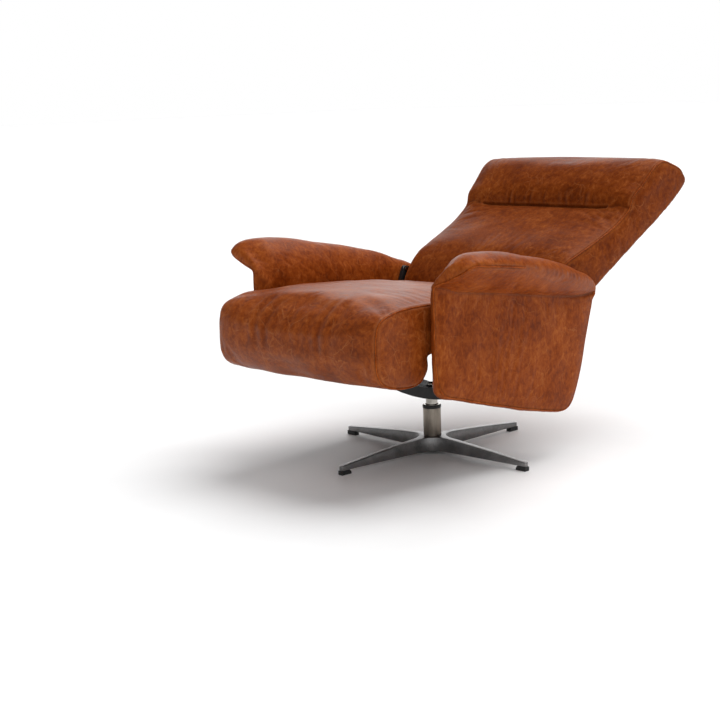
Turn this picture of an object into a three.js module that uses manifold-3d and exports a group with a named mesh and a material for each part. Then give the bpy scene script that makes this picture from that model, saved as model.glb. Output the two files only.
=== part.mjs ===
// A push-back recliner armchair on a swivelling four-star base, in millimetres, +Z up.
// The origin is the swivel axis on the floor; the sitter faces -Y and has their left arm on +X.
// It is modelled reclined: the back leans on its rear stop and the seat is fully forward.
import * as THREE from "three";
import { mergeVertices } from "three/addons/utils/BufferGeometryUtils.js";
import { ConvexGeometry } from "three/addons/geometries/ConvexGeometry.js";
import Module from "manifold-3d";

const wasm = await Module();
wasm.setup();

// ---- Driving dimensions ----
const GAP = 0.3; // between touching pieces
const LEATHER = 2.5; // thickness of the covers
const PLY = 15; // thickness of the plywood boards

const STAR_REACH = 350; // swivel axis to the tip of a foot
const HUB_TOP = 48;
const HUB_UNDERSIDE = 3;
const COLUMN_RADIUS = 25;
const COLUMN_WALL = 2.5;
const COLUMN_TOP = 127;
const COLLAR_TOP = 137;
const SPINDLE_RADIUS = 16.5;
const BEAM_UNDERSIDE = 158; // lowest edge of the bowed beam, over the column
const BEAM_HEIGHT = 32;
const BEAM_WIDTH = 70;
const BEAM_RADIUS = 500; // the bow seen from the front
const BEAM_HALF_SPAN = 286.5;

const ARM_INNER = 300; // inner face of an arm from the middle of the chair
const SEAT_HALF_WIDTH = 290;
const SEAT_FRONT_HALF_WIDTH = 296; // where the seat stands out in front of the arms
const SEAT_REAR_HALF_WIDTH = 278;
const SEAT_NOTCH = 95; // y where the narrower rear part starts
const SEAT_CROWN = 22;
const SEAT_BULGE = 11; // of the seat's front face
const BACK_CROWN = 12;
const RECLINE = THREE.MathUtils.degToRad(36); // from reclined up to upright
const BACK_ANGLE = THREE.MathUtils.degToRad(33.6); // rear face above level when reclined

const BASE_TURN = THREE.MathUtils.degToRad(-2.3); // the star about the swivel axis
const BACK_PIVOT = new THREE.Vector2(214, 478); // y, z of the back's pivot pins
const PIVOT_BOSS = 10; // radius of the plates round those pins
const SEAT_PIVOT = new THREE.Vector2(190, 420); // y, z of the pins that join seat and back
const CROSS_TUBE = new THREE.Vector2(275, 455); // y, z of the tube across the foot of the back
const SEAT_BOTTOM_FRONT = new THREE.Vector2(-334, 352); // y, z where the thin part of the seat starts

// The back's foot carries the seat along as it turns, which gives the slope of the seat's rails.
const seatTravel = SEAT_PIVOT.clone().rotateAround(BACK_PIVOT, RECLINE).sub(SEAT_PIVOT);
const SEAT_SLOPE = Math.atan2(-seatTravel.y, seatTravel.x);

// Layers from the middle of the chair out to an arm: bracket, ear, washer, side plate.
const BRACKET_X = [281, 285.7];
const EAR_X = [286.1, 290.5];
const WASHER_X = [290.8, 292.6];
const SIDE_PLATE_X = [293, 299.4];

// ---- Materials ----
const finish = (color, roughness, metalness) =>
  new THREE.MeshStandardMaterial({ color, roughness, metalness });
const leather = finish(0x96502a, 0.45, 0);
const foam = finish(0xe8dcb8, 0.95, 0);
const plywood = finish(0xc9a26b, 0.8, 0);
const castAluminium = finish(0xb9babb, 0.35, 1);
const brushedSteel = finish(0x9c958a, 0.4, 1);
const polishedSteel = finish(0xd0ccc4, 0.2, 1);
const blackSteel = finish(0x17181a, 0.55, 0.6);
const blackPlastic = finish(0x121213, 0.6, 0);
const whiteNylon = finish(0xe4e2da, 0.6, 0);
const dustCloth = finish(0x1d1d1f, 0.95, 0);

// ---- Joining and cutting ----
function toSolid(geometry, matrix = new THREE.Matrix4()) {
  let plain = geometry.index ? geometry.toNonIndexed() : geometry.clone();
  plain = new THREE.BufferGeometry().setAttribute("position", plain.getAttribute("position"));
  const merged = mergeVertices(plain.applyMatrix4(matrix), 1e-3);
  return new wasm.Manifold(new wasm.Mesh({
    numProp: 3,
    vertProperties: new Float32Array(merged.attributes.position.array),
    triVerts: new Uint32Array(merged.index.array),
  }));
}

function toGeometry(solid) {
  const { vertProperties, triVerts } = solid.getMesh();
  const geometry = new THREE.BufferGeometry();
  geometry.setAttribute("position", new THREE.BufferAttribute(vertProperties, 3));
  geometry.setIndex(new THREE.BufferAttribute(triVerts, 1));
  geometry.computeVertexNormals();
  return geometry;
}

const group = new THREE.Group();
const bodies = {};
for (const name of ["base", "swivel_frame", "seat", "backrest"]) {
  bodies[name] = new THREE.Group();
  group.add(bodies[name]);
}

function add(parent, name, shape, material) {
  const geometry = shape.isBufferGeometry ? shape : toGeometry(shape);
  const mesh = new THREE.Mesh(geometry, material);
  mesh.name = name;
  parent.add(mesh);
  return mesh;
}

// The same piece on both sides; side is +1 for the sitter's left and -1 for their right.
function onBothSides(make) {
  for (const [side, word] of [[1, "left"], [-1, "right"]]) make(side, word);
}

// ---- Basic shapes ----
const at = (x, y, z) => new THREE.Matrix4().makeTranslation(x, y, z);

function box([x0, x1], [y0, y1], [z0, z1]) {
  const block = new THREE.BoxGeometry(x1 - x0, y1 - y0, z1 - z0);
  return toSolid(block, at((x0 + x1) / 2, (y0 + y1) / 2, (z0 + z1) / 2));
}

// A ring or disc about +Z from its half section: [radius, z] pairs, anticlockwise.
function turned(profile, segments = 20) {
  const points = profile.map(([r, z]) => new THREE.Vector2(r, z));
  points.push(points[0].clone());
  return toSolid(new THREE.LatheGeometry(points, segments),
    new THREE.Matrix4().makeRotationX(Math.PI / 2));
}

const ring = (inner, outer, z0, z1, segments) =>
  turned([[inner, z0], [outer, z0], [outer, z1], [inner, z1]], segments);

// A solid disc or rod along X, between two X planes, round a (y, z) centre.
function rodX([x0, x1], centre, radius, segments = 16) {
  const rod = new THREE.CylinderGeometry(radius, radius, x1 - x0, segments);
  rod.rotateZ(Math.PI / 2);
  return toSolid(rod, at((x0 + x1) / 2, centre.x, centre.y));
}

function rodZ(radius, z0, z1, segments = 20) {
  const rod = new THREE.CylinderGeometry(radius, radius, z1 - z0, segments);
  rod.rotateX(Math.PI / 2);
  return toSolid(rod, at(0, 0, (z0 + z1) / 2));
}

// A flat plate in a YZ plane that wraps circles given as [y, z, radius].
function plateX([x0, x1], circles, segments = 12) {
  const points = [];
  for (const [y, z, radius] of circles) {
    for (let i = 0; i < segments; i++) {
      const turn = (2 * Math.PI * i) / segments;
      for (const x of [x0, x1]) {
        points.push(new THREE.Vector3(x, y + radius * Math.cos(turn), z + radius * Math.sin(turn)));
      }
    }
  }
  return toSolid(new ConvexGeometry(points));
}

// An outline in the YZ plane, extruded along X between two planes.
function slabX([x0, x1], outline, steps = 1) {
  const shape = new THREE.Shape(outline.map(([y, z]) => new THREE.Vector2(y, z)));
  const slab = new THREE.ExtrudeGeometry(shape, { depth: x1 - x0, bevelEnabled: false, steps });
  const toYZ = new THREE.Matrix4().makeBasis(
    new THREE.Vector3(0, 1, 0), new THREE.Vector3(0, 0, 1), new THREE.Vector3(1, 0, 0));
  return slab.applyMatrix4(toYZ).translate(x0, 0, 0);
}

// Moves every corner of a closed outline inwards by a distance (outwards when it is negative).
function inset(outline, distance) {
  const turnSign = Math.sign(THREE.ShapeUtils.area(outline.map(([a, b]) => ({ x: a, y: b }))));
  return outline.map(([a, b], i) => {
    const before = outline[(i + outline.length - 1) % outline.length];
    const after = outline[(i + 1) % outline.length];
    const one = new THREE.Vector2(a - before[0], b - before[1]).normalize();
    const two = new THREE.Vector2(after[0] - a, after[1] - b).normalize();
    const inward = new THREE.Vector2(-(one.y + two.y), one.x + two.x).normalize();
    const cornerCosine = Math.max(0.5, inward.dot(new THREE.Vector2(-one.y, one.x)));
    inward.multiplyScalar((turnSign * distance) / cornerCosine);
    return [a + inward.x, b + inward.y];
  });
}

const mix = THREE.MathUtils.lerp;
const ease = THREE.MathUtils.smoothstep;

// Reads a value off a list of [position, value] pairs, in straight stretches.
function alongList(list, position) {
  for (let i = 1; i < list.length; i++) {
    const [p0, v0] = list[i - 1];
    const [p1, v1] = list[i];
    if (position <= p1) return mix(v0, v1, THREE.MathUtils.clamp((position - p0) / (p1 - p0), 0, 1));
  }
  return list.at(-1)[1];
}

// ---- Star base, feet and column ----
const INNER_RADIUS = COLUMN_RADIUS - COLUMN_WALL;
const RECESS_RADIUS = 17;
const RECESS_TOP = 15.6;
const BOLT_RADIUS = 8;

function starPlan() {
  const halfRoot = 10;
  const halfTip = 7;
  const filletEnd = 62; // where the fillet between two arms meets the straight blade
  const shape = new THREE.Shape();
  for (let arm = 0; arm < 4; arm++) {
    const turn = (arm * Math.PI) / 2;
    const middle = new THREE.Vector2();
    const place = (along, across) => new THREE.Vector2(along, across).rotateAround(middle, turn);
    const start = place(filletEnd, -halfRoot);
    if (arm === 0) shape.moveTo(start.x, start.y);
    const rounded = 5; // corner radius at the tip
    for (const [along, across] of [[STAR_REACH - rounded, -halfTip], [STAR_REACH, rounded - halfTip],
      [STAR_REACH, halfTip - rounded], [STAR_REACH - rounded, halfTip], [filletEnd, halfRoot]]) {
      const p = place(along, across);
      shape.lineTo(p.x, p.y);
    }
    const crotch = place(halfRoot + 8, halfRoot + 8);
    const next = place(halfRoot, filletEnd);
    shape.quadraticCurveTo(crotch.x, crotch.y, next.x, next.y);
  }
  return shape;
}

function makeBase() {
  const plan = new THREE.ExtrudeGeometry(starPlan(), { depth: 60, bevelEnabled: false, curveSegments: 6 });
  const envelope = turned([[0, HUB_UNDERSIDE], [33, HUB_UNDERSIDE], [40, 8], [300, 11.9],
    [360, 11.9], [360, 22.5], [300, 28.6], [220, 36], [140, 42.4], [75, 46.6], [40, HUB_TOP],
    [0, HUB_TOP]], 48);
  const star = toSolid(plan).intersect(envelope)
    .subtract(rodZ(RECESS_RADIUS, HUB_UNDERSIDE - 1, RECESS_TOP))
    .subtract(rodZ(BOLT_RADIUS + GAP, 0, 60));
  add(bodies.base, "star_base", star, castAluminium);

  const glide = [[-17, 0], [16, 0], [17, 3], [17, 11.6], [-12, 11.6], [-17, 6]];
  ["left", "rear", "right", "front"].forEach((word, arm) => {
    const foot = slabX([-7.5, 7.5], glide);
    foot.rotateZ(-Math.PI / 2); // its length now lies along +X
    const mesh = add(bodies.base, "glide_" + word, foot, blackPlastic);
    mesh.rotation.z = (arm * Math.PI) / 2;
    mesh.position.set(STAR_REACH - 16, 0, 0).applyAxisAngle(new THREE.Vector3(0, 0, 1), mesh.rotation.z);
  });

  const column = ring(INNER_RADIUS, COLUMN_RADIUS, HUB_TOP + GAP, COLUMN_TOP, 36);
  add(bodies.base, "column_tube", column, brushedSteel);
  const plug = ring(BOLT_RADIUS + GAP, INNER_RADIUS - GAP, HUB_TOP + GAP, 66);
  add(bodies.base, "column_plug", plug, blackSteel);
  const head = new THREE.CylinderGeometry(12.5, 12.5, 6.5, 6).rotateX(Math.PI / 2);
  const bolt = toSolid(head, at(0, 0, 9.3)).add(rodZ(BOLT_RADIUS, 10, 64));
  add(bodies.base, "base_bolt", bolt, polishedSteel);
  const washer = ring(BOLT_RADIUS + GAP, 15, 12.85, RECESS_TOP - GAP, 24);
  add(bodies.base, "base_washer", washer, polishedSteel);
  add(bodies.base, "base_cap", rodZ(RECESS_RADIUS - GAP, HUB_UNDERSIDE, 5.7), blackPlastic);
  add(bodies.base, "thrust_bearing", ring(9, 21, 66 + GAP, 72), polishedSteel);
  const bush = (z0, z1) => ring(SPINDLE_RADIUS + GAP, INNER_RADIUS - GAP, z0, z1);
  add(bodies.base, "bush_lower", bush(74, 92), whiteNylon);
  add(bodies.base, "bush_upper", bush(108, COLUMN_TOP - 1), whiteNylon);
  const z = COLUMN_TOP + GAP;
  const collar = turned([[19, z], [COLUMN_RADIUS + 1, z], [COLUMN_RADIUS + 1, COLLAR_TOP - 2.5],
    [COLUMN_RADIUS - 1.5, COLLAR_TOP], [19, COLLAR_TOP]], 36);
  add(bodies.base, "column_collar", collar, blackPlastic);
  bodies.base.rotation.z = BASE_TURN;
}

// ---- Spindle and bowed beam ----
const beamRise = (x) => BEAM_RADIUS - Math.sqrt(BEAM_RADIUS ** 2 - x ** 2);
const PLATE_TOP = BEAM_UNDERSIDE + BEAM_HEIGHT;
const BEAM_SHEET = 5;
const FRAME_SCREWS = [new THREE.Vector2(-28, 232), new THREE.Vector2(28, 232)]; // y, z
const END_PLATE_Z = [219, 284];

// The region between two bowed lines, extruded along Y.
function bow(z0, z1, [y0, y1], halfSpan) {
  const steps = 14;
  const outline = [];
  for (let i = 0; i <= steps; i++) {
    const x = mix(-halfSpan, halfSpan, i / steps);
    outline.push(new THREE.Vector2(x, z0 + beamRise(x)));
  }
  for (let i = steps; i >= 0; i--) {
    const x = mix(-halfSpan, halfSpan, i / steps);
    outline.push(new THREE.Vector2(x, z1 + beamRise(x)));
  }
  const shape = new THREE.Shape(outline);
  const band = new THREE.ExtrudeGeometry(shape, { depth: y1 - y0, bevelEnabled: false });
  return toSolid(band.rotateX(Math.PI / 2), at(0, y1, 0));
}

function makeBeam() {
  const half = BEAM_WIDTH / 2;
  let beam = bow(BEAM_UNDERSIDE, PLATE_TOP, [-half, half], BEAM_HALF_SPAN)
    .subtract(bow(BEAM_UNDERSIDE - 40, PLATE_TOP - BEAM_SHEET, [4 - half, half - 4],
      BEAM_HALF_SPAN - 1.5))
    .subtract(rodZ(9, 150, 210));
  onBothSides((side) => {
    const ends = [BEAM_HALF_SPAN - 1, WASHER_X[1]].map((x) => side * x).sort((a, b) => a - b);
    beam = beam.add(box(ends, [-45, 45], END_PLATE_Z));
    for (const screw of FRAME_SCREWS) {
      beam = beam.subtract(rodX([side * 287 - 15, side * 287 + 15], screw, 5.3));
    }
  });
  add(bodies.swivel_frame, "bow_beam", beam, blackSteel);

  const under = PLATE_TOP - BEAM_SHEET - GAP;
  const spindle = turned([[0, 72 + GAP], [SPINDLE_RADIUS, 72 + GAP], [SPINDLE_RADIUS, under - 7],
    [29, under - 7], [29, under], [8.5, under], [8.5, PLATE_TOP], [0, PLATE_TOP]], 24);
  add(bodies.swivel_frame, "spindle", spindle, polishedSteel);
  add(bodies.swivel_frame, "spindle_washer", rodZ(15, PLATE_TOP + 0.9, 192.9), blackSteel);
  const dome = turned([[0, 193.2], [11, 193.2], [10.6, 196], [8, 199], [4, 200.6], [0, 201]], 20);
  add(bodies.swivel_frame, "spindle_bolt", dome, polishedSteel);
}

// ---- Side plates, rails and pivots on the swivel frame ----
// Pieces that follow the seat's slope are built level here and then tilted into place.
const slopeFrame = new THREE.Matrix4()
  .makeTranslation(0, SEAT_BOTTOM_FRONT.x, SEAT_BOTTOM_FRONT.y)
  .multiply(new THREE.Matrix4().makeRotationX(-SEAT_SLOPE));
const sloped = (solid) => solid.transform(slopeFrame.elements);
const sideRange = (side, [a, b]) => (side > 0 ? [a, b] : [-b, -a]);

const RAIL_LENGTH = [84, 428];
const RAIL_X = [272, 292.6];
const RUNNER_X = [262, 280.7];

function makeSideFrame() {
  onBothSides((side, word) => {
    const [x0, x1] = sideRange(side, SIDE_PLATE_X);
    const alongRail = plateX([x0, x1], [[-246, 325, 12], [-246, 322, 12], [150, 294, 12], [150, 289, 12]]);
    const upToPivot = plateX([x0, x1],
      [[BACK_PIVOT.x, BACK_PIVOT.y, PIVOT_BOSS], [150, 300, 18], [196, 330, 18]]);
    const downToBeam = box([x0, x1], [-50, 50], [END_PLATE_Z[0], 300]);
    let plate = alongRail.add(upToPivot).add(downToBeam)
      .subtract(rodX([x0 - 1, x1 + 1], BACK_PIVOT, 6.3));
    for (const screw of FRAME_SCREWS) plate = plate.subtract(rodX([x0 - 1, x1 + 1], screw, 5.3));
    add(bodies.swivel_frame, "side_plate_" + word, plate, blackSteel);

    const rail = box(sideRange(side, RAIL_X), RAIL_LENGTH, [-34, -8])
      .subtract(box(sideRange(side, [260, 284]), [0, 500], [-28.5, -13.5]));
    add(bodies.swivel_frame, "seat_rail_" + word, sloped(rail), blackSteel);

    const pin = rodX(sideRange(side, [283.2, EAR_X[0] - GAP]), BACK_PIVOT, 8)
      .add(rodX(sideRange(side, [285, 299.7]), BACK_PIVOT, 6));
    add(bodies.swivel_frame, "back_pivot_pin_" + word, pin, polishedSteel);
    const washer = rodX(sideRange(side, WASHER_X), BACK_PIVOT, 9)
      .subtract(rodX(sideRange(side, [280, 300]), BACK_PIVOT, 6.3));
    add(bodies.swivel_frame, "pivot_washer_" + word, washer, whiteNylon);

    FRAME_SCREWS.forEach((place, i) => {
      const screw = rodX(sideRange(side, [274.5, 281.2]), place, 8.5, 16)
        .add(rodX(sideRange(side, [280, 324]), place, 5, 16));
      add(bodies.swivel_frame, `frame_screw_${word}_${i ? "rear" : "front"}`, screw, polishedSteel);
    });
  });
  const stretcher = rodX([-292.6, 292.6], new THREE.Vector2(140, 262), 9);
  add(bodies.swivel_frame, "rear_stretcher", stretcher, blackSteel);
}

// ---- Arms ----
// Heights are z over y along the arm; the wing is the part that flares out above the crease.
const ARM_BOTTOM = [[-362, 332], [-355, 286], [-340, 257], [-317, 241], [-284, 233], [-216, 215],
  [-117, 188], [0, 158], [122, 131], [156, 125], [184, 128], [207, 144], [225, 177], [249, 237],
  [273, 323], [303, 415], [310, 424]];
const ARM_CREASE = [[-362, 528], [-322, 523], [-284, 511], [-190, 498], [-64, 480], [121, 453],
  [245, 438], [310, 441]];
const ARM_RIDGE = [[-362, 590], [-349, 601], [-335, 608], [-317, 612], [-284, 612], [-216, 606],
  [-117, 590], [-39, 574], [40, 557], [122, 539], [184, 521], [225, 506], [249, 497], [273, 485],
  [291, 472], [303, 459], [310, 448]];
const ARM_RIM = [[-362, 440], [-335, 451], [-317, 455], [-284, 456], [-216, 453], [-117, 444],
  [-39, 433], [40, 418], [122, 399], [184, 384], [225, 373], [249, 365], [273, 357], [291, 350],
  [303, 346], [310, 343]];
const ARM_PADDING_END = 288; // y where the padding stops, short of the sewn rear tip
const ARM_FRONT_BACK = 14; // how far the front stands behind its station in the lists above
const WING_SWEEP = 0.034; // how far the front edge also runs back for each mm outwards
// The arm seen from above is rounded off at its inner front corner: x, y along that edge.
const ARM_PLAN = [[280, 400], [280, -292], [292, -310], [300, -321], [309, -330], [318, -338],
  [326, -344], [336, -350.4], [500, -354], [500, 400]];

// One section across the arm, as [x, z] corners from the inner bottom edge outwards and round.
function armSection(y, skin) {
  const bottom = alongList(ARM_BOTTOM, y);
  const crease = alongList(ARM_CREASE, y);
  const rise = alongList(ARM_RIDGE, y) - crease;
  const rim = alongList(ARM_RIM, y);
  const reach = rim - ARM_INNER;
  const outer = 338;
  const corners = [[304, bottom], [328, bottom], [334, mix(bottom, crease, 0.04)],
    [336.5, mix(bottom, crease, 0.4)], [outer, mix(bottom, crease, 0.8)], [outer, crease]];
  for (const t of [0.3, 0.65]) {
    corners.push([mix(outer, rim, t), crease + 0.66 * rise * t ** 1.25]);
  }
  corners.push([rim, crease + 0.66 * rise], [rim - 0.02 * reach, crease + 0.8 * rise],
    [rim - 0.14 * reach, crease + 0.94 * rise], [rim - 0.36 * reach, crease + rise],
    [rim - 0.58 * reach, crease + 0.93 * rise], [rim - 0.77 * reach, crease + 0.72 * rise],
    [rim - 0.91 * reach, crease + 0.42 * rise], [ARM_INNER + 1, crease + 0.08 * rise],
    [ARM_INNER, crease - 0.3 * rise], [ARM_INNER, mix(bottom, crease, 0.4)],
    [ARM_INNER, mix(bottom, crease, 0.03)]);
  return inset(corners, skin);
}

function armSolid(skin) {
  let stations = ARM_BOTTOM.map(([y]) => y);
  if (skin > 0) stations = [...stations.filter((y) => y < ARM_PADDING_END), ARM_PADDING_END];
  const first = stations[0];
  const last = stations.at(-1);
  const template = armSection(0, skin);
  const shape = new THREE.Shape(template.map(([x, z]) => new THREE.Vector2(x, z)));
  const steps = stations.length - 1;
  const sweep = new THREE.ExtrudeGeometry(shape, { depth: steps, steps, bevelEnabled: false });
  const position = sweep.getAttribute("position");
  for (let i = 0; i < position.count; i++) {
    const corner = template.findIndex(([x, z]) =>
      Math.abs(x - position.getX(i)) < 1e-3 && Math.abs(z - position.getY(i)) < 1e-3);
    const station = stations[steps - Math.round(position.getZ(i))];
    const [x, z] = armSection(station, skin)[corner];
    const standBack = (ARM_FRONT_BACK + WING_SWEEP * (x - 338)) * (1 - ease(station, first, -200));
    const y = THREE.MathUtils.clamp(station, first + skin, last - skin) + standBack;
    position.setXYZ(i, x, y, z);
  }
  const plan = new THREE.Shape(inset(ARM_PLAN, skin).map(([x, y]) => new THREE.Vector2(x, y)));
  return toSolid(sweep).intersect(
    toSolid(new THREE.ExtrudeGeometry(plan, { depth: 700, bevelEnabled: false })));
}

const ARM_BOARD_X = [310, 310 + PLY];
const ARM_BOARD = [[-312, 478], [-312, 345], [-300, 290], [-262, 232], [-216, 215], [-117, 188],
  [0, 158], [122, 131], [156, 125], [185, 145], [208, 190], [240, 290], [262, 370],
  [262, 415], [245, 424], [121, 438], [-64, 465], [-284, 490]];

function makeArms() {
  const cut = slabX([ARM_BOARD_X[0] - GAP, ARM_BOARD_X[1] + GAP],
    inset(ARM_BOARD, -GAP).map(([y, z], i) => (i > 2 && i < 9 ? [y, z - 8] : [y, z])));
  const outside = armSolid(0);
  let holes = toSolid(cut);
  for (const screw of FRAME_SCREWS) holes = holes.add(rodX([295, 311], screw, 5.3));
  let board = toSolid(slabX(ARM_BOARD_X, ARM_BOARD));
  for (const screw of FRAME_SCREWS) board = board.subtract(rodX([300, 330], screw, 5.3));
  const cover = outside.subtract(armSolid(LEATHER)).subtract(holes);
  const padding = armSolid(LEATHER + GAP).subtract(holes);
  onBothSides((side, word) => {
    const turn = (solid) => (side > 0 ? solid : solid.mirror([1, 0, 0]));
    add(bodies.swivel_frame, "arm_cover_" + word, turn(cover), leather);
    add(bodies.swivel_frame, "arm_foam_" + word, turn(padding), foam);
    add(bodies.swivel_frame, "arm_board_" + word, turn(board), plywood);
  });
}

// ---- Seat ----
const SEAT_PROFILE = [[-334, 352], [-338, 321], [-350, 304], [-364, 288], [-381, 280], [-414, 281],
  [-468, 292], [-494, 308], [-506, 328], [-510, 355], [-508, 392], [-505, 429], [-498, 447],
  [-484, 460], [-460, 469], [-428, 477], [-340, 479], [-217, 475], [-39, 463], [119, 450],
  [156, 446], [168, 441], [174, 430]];

// The seat cushion: its profile across the chair, crowned in the middle, with its rear corners
// cut back to clear the brackets beside it.
function seatSolid(skin) {
  const rearBottom = [174, SEAT_BOTTOM_FRONT.y - (174 - SEAT_BOTTOM_FRONT.x) * Math.tan(SEAT_SLOPE)];
  const outline = inset([...SEAT_PROFILE, rearBottom], skin);
  const geometry = slabX([-1, 1], outline, 10);
  const position = geometry.getAttribute("position");
  for (let i = 0; i < position.count; i++) {
    const across = position.getX(i);
    const y = position.getY(i);
    const z = position.getZ(i);
    const lift = SEAT_CROWN * (1 - across ** 4) * ease(z, 400, 460);
    const forward = (2 + SEAT_BULGE * (1 - across ** 8)) * ease(-y, 430, 500);
    const half = mix(SEAT_HALF_WIDTH, SEAT_FRONT_HALF_WIDTH, ease(-y, 360, 430)) - skin;
    position.setXYZ(i, across * half, y - forward, z + lift);
  }
  let seat = toSolid(geometry);
  onBothSides((side) => {
    const beside = sideRange(side, [SEAT_REAR_HALF_WIDTH - skin, 320]);
    seat = seat.subtract(box(beside, [SEAT_NOTCH - skin, 300], [200, 600]));
  });
  return seat;
}

const BOARD_LENGTH = [14, 495];
const BOARD_HALF_WIDTH = 262;

function makeSeat() {
  const boardWithGap = sloped(box([-BOARD_HALF_WIDTH - GAP, BOARD_HALF_WIDTH + GAP],
    [BOARD_LENGTH[0] - GAP, BOARD_LENGTH[1] + GAP], [-9, PLY + GAP]));
  add(bodies.seat, "seat_cover", seatSolid(0).subtract(seatSolid(LEATHER)).subtract(boardWithGap), leather);
  add(bodies.seat, "seat_foam", seatSolid(LEATHER + GAP).subtract(boardWithGap), foam);
  const half = [-BOARD_HALF_WIDTH, BOARD_HALF_WIDTH];
  add(bodies.seat, "seat_board", sloped(box(half, BOARD_LENGTH, [0, PLY])), plywood);
  const cloth = box([-255, 255], [30, 480], [-1.8, -GAP]);
  add(bodies.seat, "seat_dust_cloth", sloped(cloth), dustCloth);
  onBothSides((side, word) => {
    const bar = box(sideRange(side, RUNNER_X), [94, 494], [-28, -14])
      .add(box(sideRange(side, [RUNNER_X[0], 271.4]), [94, 494], [-28, -GAP - 0.1]));
    add(bodies.seat, "seat_runner_" + word, sloped(bar), brushedSteel);
    const bracket = plateX(sideRange(side, BRACKET_X), [[SEAT_PIVOT.x, SEAT_PIVOT.y, 11],
      [156, 300, 9], [128, 300, 9], [128, 312, 9]])
      .subtract(rodX(sideRange(side, [280, 300]), SEAT_PIVOT, 5.3));
    add(bodies.seat, "seat_bracket_" + word, bracket, blackSteel);
    const pin = rodX(sideRange(side, [BRACKET_X[0], 291]), SEAT_PIVOT, 5)
      .add(rodX(sideRange(side, WASHER_X), SEAT_PIVOT, 10.5));
    add(bodies.seat, "seat_pivot_pin_" + word, pin, polishedSteel);
  });
}

// ---- Backrest ----
const BACK_PROFILE = [[262, 363], [771, 699], [781, 715], [776, 730], [751, 751], [711, 767],
  [664, 779], [625, 766], [597, 744], [564, 713], [526, 680], [515, 650], [478, 621], [432, 596],
  [369, 569], [316, 548], [255, 522], [222, 492], [200, 460], [190, 436], [192, 418], [204, 404],
  [240, 372], [250, 365]];
const backAlong = new THREE.Vector2(Math.cos(BACK_ANGLE), Math.sin(BACK_ANGLE));
const backOut = new THREE.Vector2(-backAlong.y, backAlong.x); // from the rear face to the front
const REAR_POINT = new THREE.Vector2(345, 416); // y, z of a point on the rear face
const CREASE = 271; // sewn crease under the headrest, up the back from that point
const BACK_WIDTHS = [[110, 279], [180, 286], [391, 305], [620, 317]]; // half width up the back
const backHeight = (y, z) => new THREE.Vector2(y - 190, z - 432).dot(backAlong);

function backSolid(skin) {
  const geometry = slabX([-1, 1], inset(BACK_PROFILE, skin), 10);
  const position = geometry.getAttribute("position");
  for (let i = 0; i < position.count; i++) {
    const across = position.getX(i);
    const y = position.getY(i);
    const z = position.getZ(i);
    const height = backHeight(y, z);
    const half = alongList(BACK_WIDTHS, height) - skin;
    const depth = new THREE.Vector2(y, z).sub(REAR_POINT).dot(backOut);
    const lift = BACK_CROWN * (1 - across ** 2) * ease(depth, 50, 90) * ease(height, 60, 160);
    position.setXYZ(i, across * half, y + lift * backOut.x, z + lift * backOut.y);
  }
  return toSolid(geometry);
}

function makeBack() {
  const tilt = new THREE.Matrix4().makeTranslation(0, REAR_POINT.x, REAR_POINT.y)
    .multiply(new THREE.Matrix4().makeRotationX(BACK_ANGLE));
  const board = (grow, foot) =>
    box([-262 - grow, 262 + grow], [foot, 470 + grow], [18 - grow, 18 + PLY + grow])
      .transform(tilt.elements);
  const tube = (radius, half) => rodX([-half, half], CROSS_TUBE, radius);
  const holes = board(GAP, -150).add(tube(10 + GAP, 300));
  add(bodies.backrest, "back_cover", backSolid(0).subtract(backSolid(LEATHER)).subtract(holes), leather);
  const padding = backSolid(LEATHER + GAP).subtract(holes);
  const stretch = (from, to) => box([-400, 400], [from, to], [-100, 300]).transform(tilt.elements);
  add(bodies.backrest, "back_foam", padding.intersect(stretch(-300, CREASE - GAP)), foam);
  add(bodies.backrest, "headrest_foam", padding.intersect(stretch(CREASE, 900)), foam);
  add(bodies.backrest, "back_board", board(0, -92), plywood);
  add(bodies.backrest, "back_cross_tube", tube(10, EAR_X[1]), blackSteel);
  onBothSides((side, word) => {
    const hole = (centre, radius) => rodX(sideRange(side, [280, 300]), centre, radius, 24);
    const ear = plateX(sideRange(side, EAR_X), [[SEAT_PIVOT.x, SEAT_PIVOT.y, 15],
      [BACK_PIVOT.x, BACK_PIVOT.y, PIVOT_BOSS], [CROSS_TUBE.x, CROSS_TUBE.y, 17]])
      .subtract(hole(SEAT_PIVOT, 8.6)) // roomy: the seat runs straight, the back's foot on an arc
      .subtract(hole(BACK_PIVOT, 6.05))
      .subtract(hole(CROSS_TUBE, 10 + GAP));
    add(bodies.backrest, "back_ear_" + word, ear, blackSteel);
  });
}

makeBase();
makeBeam();
makeSideFrame();
makeArms();
makeSeat();
makeBack();

export default group;
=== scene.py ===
import math

import bmesh
import bpy
import numpy as np
from mathutils import Matrix, Vector
from mathutils.bvhtree import BVHTree
from mathutils.kdtree import KDTree


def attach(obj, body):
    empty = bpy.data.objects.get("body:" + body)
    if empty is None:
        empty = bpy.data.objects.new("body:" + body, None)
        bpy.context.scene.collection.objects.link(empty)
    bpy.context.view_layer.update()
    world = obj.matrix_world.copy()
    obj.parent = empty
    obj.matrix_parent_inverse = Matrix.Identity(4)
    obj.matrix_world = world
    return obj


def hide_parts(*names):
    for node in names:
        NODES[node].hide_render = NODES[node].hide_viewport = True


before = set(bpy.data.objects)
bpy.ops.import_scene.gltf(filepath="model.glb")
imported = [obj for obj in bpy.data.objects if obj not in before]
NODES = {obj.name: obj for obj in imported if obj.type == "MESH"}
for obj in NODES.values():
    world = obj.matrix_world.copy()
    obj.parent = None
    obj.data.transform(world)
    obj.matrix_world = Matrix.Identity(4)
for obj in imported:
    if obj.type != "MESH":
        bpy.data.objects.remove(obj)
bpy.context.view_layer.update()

# ---- Driving dimensions ----
VOXEL = 0.006  # cell of the even mesh that each cushion is made from
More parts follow.
